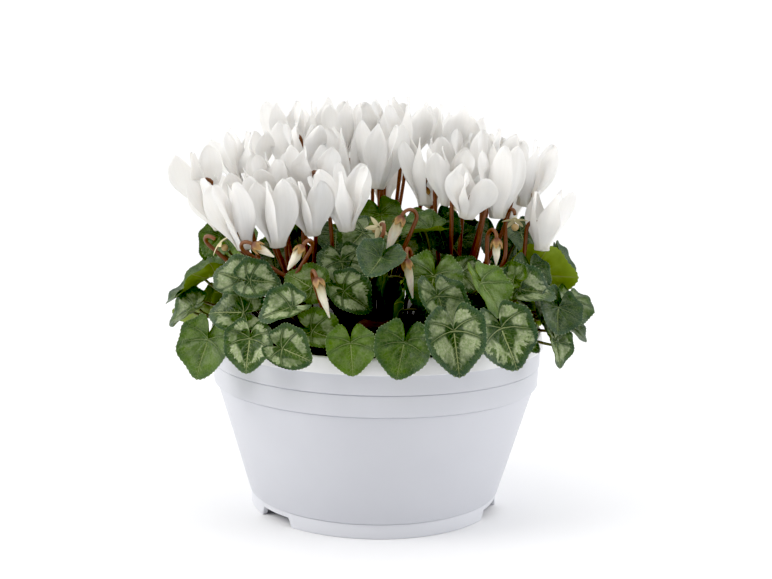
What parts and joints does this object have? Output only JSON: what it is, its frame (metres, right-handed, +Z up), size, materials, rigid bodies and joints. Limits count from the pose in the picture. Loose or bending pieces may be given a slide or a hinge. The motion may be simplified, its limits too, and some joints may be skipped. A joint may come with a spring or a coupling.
{
  "type": "potted cyclamen",
  "caption": "White-flowered cyclamen plants with patterned heart-shaped leaves, growing together in a round white plastic bowl with a rolled rim band and a notched foot ring.",
  "frame": {"origin": "middle of the plant's outline seen from above, on the ground that the bowl stands on; it is also the centre of the bowl's foot", "axes": "+Z up out of the bowl, -Y towards the viewer of the picture, +X to the viewer's right"},
  "size_m": [0.335, 0.3123, 0.328],
  "materials": {
    "bowl": "satin",
    "soil": "matte",
    "stem": "satin",
    "leaf": "satin",
    "petal": "matte"
  },
  "bodies": {
    "root": {"bowl": "bowl", "soil": "soil", "corm_and_flower_stems_left": "stem", "corm_and_flower_stems_right": "stem", "corm_and_flower_stems_back": "stem", "leaf_spray_left_1": "leaf", "leaf_spray_left_2": "leaf", "leaf_spray_left_3": "leaf", "leaf_spray_left_4": "leaf", "leaf_spray_left_5": "leaf", "leaf_spray_right_1": "leaf", "leaf_spray_right_2": "leaf", "leaf_spray_right_3": "leaf", "leaf_spray_right_4": "leaf", "leaf_spray_right_5": "leaf", "leaf_spray_back_1": "leaf", "leaf_spray_back_2": "leaf", "leaf_spray_back_3": "leaf", "leaf_spray_back_4": "leaf", "leaf_spray_back_5": "leaf", "bloom_1": "petal", "bloom_2": "petal", "bloom_3": "petal", "bloom_4": "petal", "bloom_5": "petal", "bloom_6": "petal", "bloom_7": "petal", "bloom_8": "petal", "bloom_9": "petal", "bloom_10": "petal", "bloom_11": "petal", "bloom_12": "petal", "bloom_13": "petal", "bloom_14": "petal", "bloom_15": "petal", "bloom_16": "petal", "bloom_17": "petal", "bloom_18": "petal", "bloom_19": "petal", "bloom_20": "petal", "bloom_21": "petal", "bloom_22": "petal", "bloom_23": "petal", "bloom_24": "petal", "bloom_25": "petal", "bloom_26": "petal", "bloom_27": "petal", "bloom_28": "petal", "bloom_29": "petal", "bloom_30": "petal", "bloom_31": "petal", "bloom_32": "petal", "bloom_33": "petal", "bloom_34": "petal", "bloom_35": "petal", "bloom_36": "petal", "bloom_37": "petal", "bloom_38": "petal", "bloom_39": "petal"}
  },
  "joints": []
}
